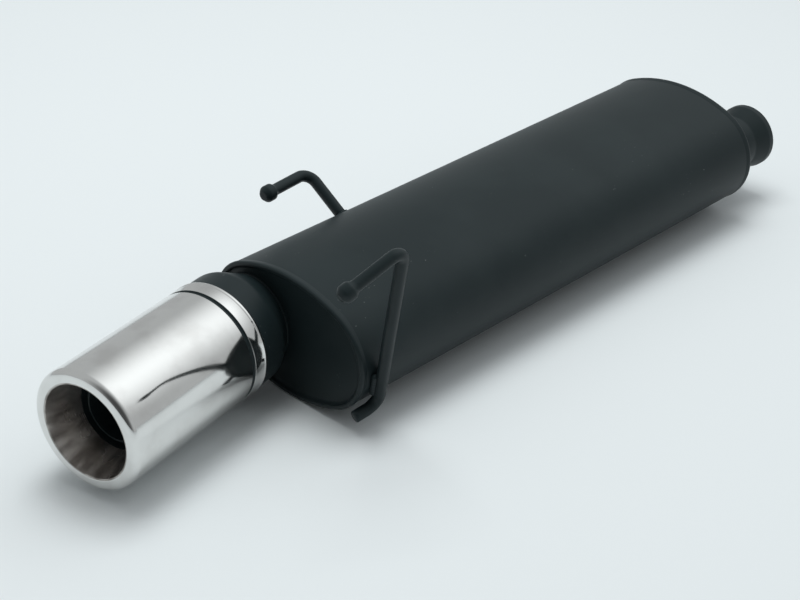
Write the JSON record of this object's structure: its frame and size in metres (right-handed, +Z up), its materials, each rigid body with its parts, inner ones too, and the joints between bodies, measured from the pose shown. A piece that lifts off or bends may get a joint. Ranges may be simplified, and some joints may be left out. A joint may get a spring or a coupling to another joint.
{
  "type": "exhaust muffler",
  "caption": "Oval rear silencer in black heat-resistant paint with a flared offset inlet, a polished round twin-wall tailpipe trim angled at the outlet, and rubber-mount hanger rods.",
  "frame": {"origin": "centre of the inlet pipe's flared mouth, in the plane of its rim", "axes": "+X leaves the inlet along the body, towards the front of the car; +Y towards the car's left side; +Z up. The body lies from x = -0.0516 m to x = -0.5606 m, its middle line at y = 0.0448 m"},
  "size_m": [0.762, 0.251, 0.1867],
  "materials": {
    "black_paint": "satin to matte heat-resistant paint on mild steel",
    "polished_steel": "mirror-polished stainless steel",
    "bare_steel": "aluminised sheet, dull",
    "steel_wool": "loose stainless wool blanket",
    "glass_wool": "packed glass fibre"
  },
  "bodies": {
    "root": {"shell_wrap": "black_paint", "shell_lining": "bare_steel", "front_end_cap": "black_paint", "rear_end_cap": "black_paint", "front_baffle": "bare_steel", "rear_baffle": "bare_steel", "inlet_pipe": "black_paint", "inlet_perforated_tube": "bare_steel", "outlet_perforated_tube": "bare_steel", "upper_return_tube": "bare_steel", "lower_return_tube": "bare_steel", "inlet_steel_wool": "steel_wool", "outlet_steel_wool": "steel_wool", "glass_wool_packing": "glass_wool", "outlet_pipe": "black_paint", "trim_cone": "black_paint", "trim_cone_weld": "black_paint", "trim_spacer": "bare_steel", "trim_collar": "polished_steel", "trim_sleeve": "polished_steel", "trim_liner": "polished_steel", "trim_inner_ring": "black_paint", "left_hanger_rod": "black_paint", "right_hanger_rod": "black_paint", "left_hanger_weld": "black_paint", "right_hanger_weld": "black_paint", "inlet_pipe_weld": "black_paint", "outlet_pipe_weld": "bare_steel"}
  },
  "joints": []
}
